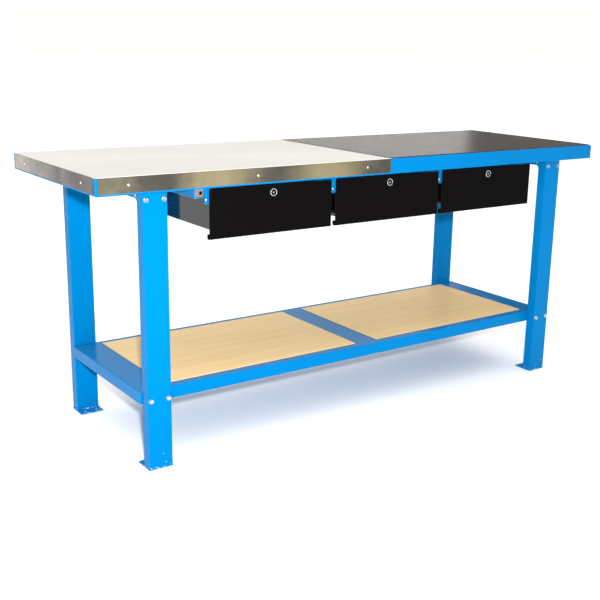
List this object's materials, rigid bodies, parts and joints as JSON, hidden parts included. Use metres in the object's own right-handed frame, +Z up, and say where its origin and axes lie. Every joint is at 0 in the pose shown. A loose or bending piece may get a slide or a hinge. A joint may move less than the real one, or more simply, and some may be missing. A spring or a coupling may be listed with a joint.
{
  "type": "workbench",
  "caption": "Steel workbench: sheet-steel and rubber-mat top on box-section legs, lower shelf tray with timber boards, row of lockable drawers under the top.",
  "frame": {"origin": "on the floor, under the centre of the bench", "axes": "+X along the bench to the right of somebody facing the drawers, +Y to the back, +Z up"},
  "size_m": [2.1, 0.686, 0.9255],
  "materials": {
    "blue_powder_coat": "glossy powder coat",
    "bright_steel": "bright galvanised sheet, satin",
    "black_enamel": "glossy black enamel",
    "rubber": "fine ribbed mat, semi-matt",
    "timber": "sealed light timber board",
    "zinc_plate": "bright zinc plate",
    "chrome": "polished"
  },
  "bodies": {
    "bench": {"top_frame": "blue_powder_coat", "crossbeam_left": "blue_powder_coat", "crossbeam_right": "blue_powder_coat", "shelf_tray": "blue_powder_coat", "leg_front_left": "blue_powder_coat", "leg_rear_left": "blue_powder_coat", "leg_front_right": "blue_powder_coat", "leg_rear_right": "blue_powder_coat", "runner_hanger_1": "blue_powder_coat", "runner_hanger_2": "blue_powder_coat", "runner_hanger_3": "blue_powder_coat", "runner_hanger_4": "blue_powder_coat", "drawer_shell_1": "black_enamel", "drawer_shell_2": "black_enamel", "drawer_shell_3": "black_enamel", "top_bolt_front_left_1": "zinc_plate", "top_bolt_front_left_2": "zinc_plate", "shelf_bolt_front_left_1": "zinc_plate", "shelf_bolt_front_left_2": "zinc_plate", "top_bolt_rear_left_1": "zinc_plate", "top_bolt_rear_left_2": "zinc_plate", "shelf_bolt_rear_left_1": "zinc_plate", "shelf_bolt_rear_left_2": "zinc_plate", "top_bolt_front_right_1": "zinc_plate", "top_bolt_front_right_2": "zinc_plate", "shelf_bolt_front_right_1": "zinc_plate", "shelf_bolt_front_right_2": "zinc_plate", "top_bolt_rear_right_1": "zinc_plate", "top_bolt_rear_right_2": "zinc_plate", "shelf_bolt_rear_right_1": "zinc_plate", "shelf_bolt_rear_right_2": "zinc_plate", "outer_slide_1_left": "zinc_plate", "outer_slide_1_right": "zinc_plate", "outer_slide_2_left": "zinc_plate", "outer_slide_2_right": "zinc_plate", "outer_slide_3_left": "zinc_plate", "outer_slide_3_right": "zinc_plate", "steel_cover": "bright_steel", "rubber_mat": "rubber", "core_board": "timber", "shelf_board_left": "timber", "shelf_board_right": "timber"},
    "drawer_1": {"drawer_box_1": "black_enamel", "drawer_front_1": "black_enamel", "lock_housing_1": "chrome", "inner_slide_1_left": "zinc_plate", "inner_slide_1_right": "zinc_plate"},
    "lock_1": {"lock_plug_1": "chrome"},
    "drawer_2": {"drawer_box_2": "black_enamel", "drawer_front_2": "black_enamel", "lock_housing_2": "chrome", "inner_slide_2_left": "zinc_plate", "inner_slide_2_right": "zinc_plate"},
    "lock_2": {"lock_plug_2": "chrome"},
    "drawer_3": {"drawer_box_3": "black_enamel", "drawer_front_3": "black_enamel", "lock_housing_3": "chrome", "inner_slide_3_left": "zinc_plate", "inner_slide_3_right": "zinc_plate"},
    "lock_3": {"lock_plug_3": "chrome"}
  },
  "joints": [
    {"name": "drawer_slide_1", "type": "slide", "parent": "bench", "child": "drawer_1", "axis": [0, -1, 0], "range_m": [0, 0.34]},
    {"name": "lock_turn_1", "type": "hinge", "parent": "drawer_1", "child": "lock_1", "pos_m": [-0.469, -0.34, 0.844], "axis": [0, -1, 0], "range_deg": [0, 90]},
    {"name": "drawer_slide_2", "type": "slide", "parent": "bench", "child": "drawer_2", "axis": [0, -1, 0], "range_m": [0, 0.34]},
    {"name": "lock_turn_2", "type": "hinge", "parent": "drawer_2", "child": "lock_2", "pos_m": [0, -0.34, 0.844], "axis": [0, -1, 0], "range_deg": [0, 90]},
    {"name": "drawer_slide_3", "type": "slide", "parent": "bench", "child": "drawer_3", "axis": [0, -1, 0], "range_m": [0, 0.34]},
    {"name": "lock_turn_3", "type": "hinge", "parent": "drawer_3", "child": "lock_3", "pos_m": [0.469, -0.34, 0.844], "axis": [0, -1, 0], "range_deg": [0, 90]}
  ]
}
